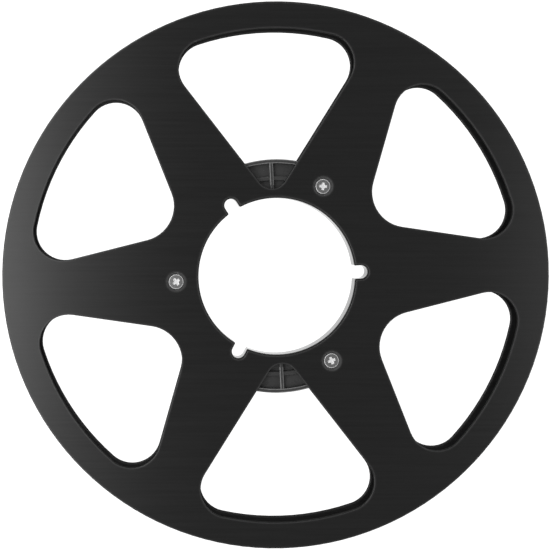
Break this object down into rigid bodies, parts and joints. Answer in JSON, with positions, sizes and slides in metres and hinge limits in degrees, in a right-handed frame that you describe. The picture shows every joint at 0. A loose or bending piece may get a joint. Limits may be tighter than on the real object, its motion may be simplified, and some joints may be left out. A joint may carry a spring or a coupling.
{
  "type": "tape reel",
  "caption": "Empty open reel for magnetic tape: two flat black metal flanges with large windows, screwed to a shallow ribbed hub with a wide keyed bore.",
  "frame": {"origin": "centre of the rear flange's outer face, on the reel's axis", "axes": "+Z along the reel's axis from the rear flange to the front flange; +X through the first key slot; +Y through the middle of a deep window"},
  "size_m": [0.2666, 0.2666, 0.011],
  "materials": {
    "flange": "black anodised, straight brushed",
    "hub": "black moulded, satin",
    "screw": "bright zinc plated",
    "insert": "machined"
  },
  "bodies": {
    "root": {"front_flange": "flange", "rear_flange": "flange", "hub": "hub", "front_screw_1": "screw", "front_screw_2": "screw", "front_screw_3": "screw", "rear_screw_1": "screw", "rear_screw_2": "screw", "rear_screw_3": "screw", "threaded_insert_1": "insert", "threaded_insert_2": "insert", "threaded_insert_3": "insert"}
  },
  "joints": []
}
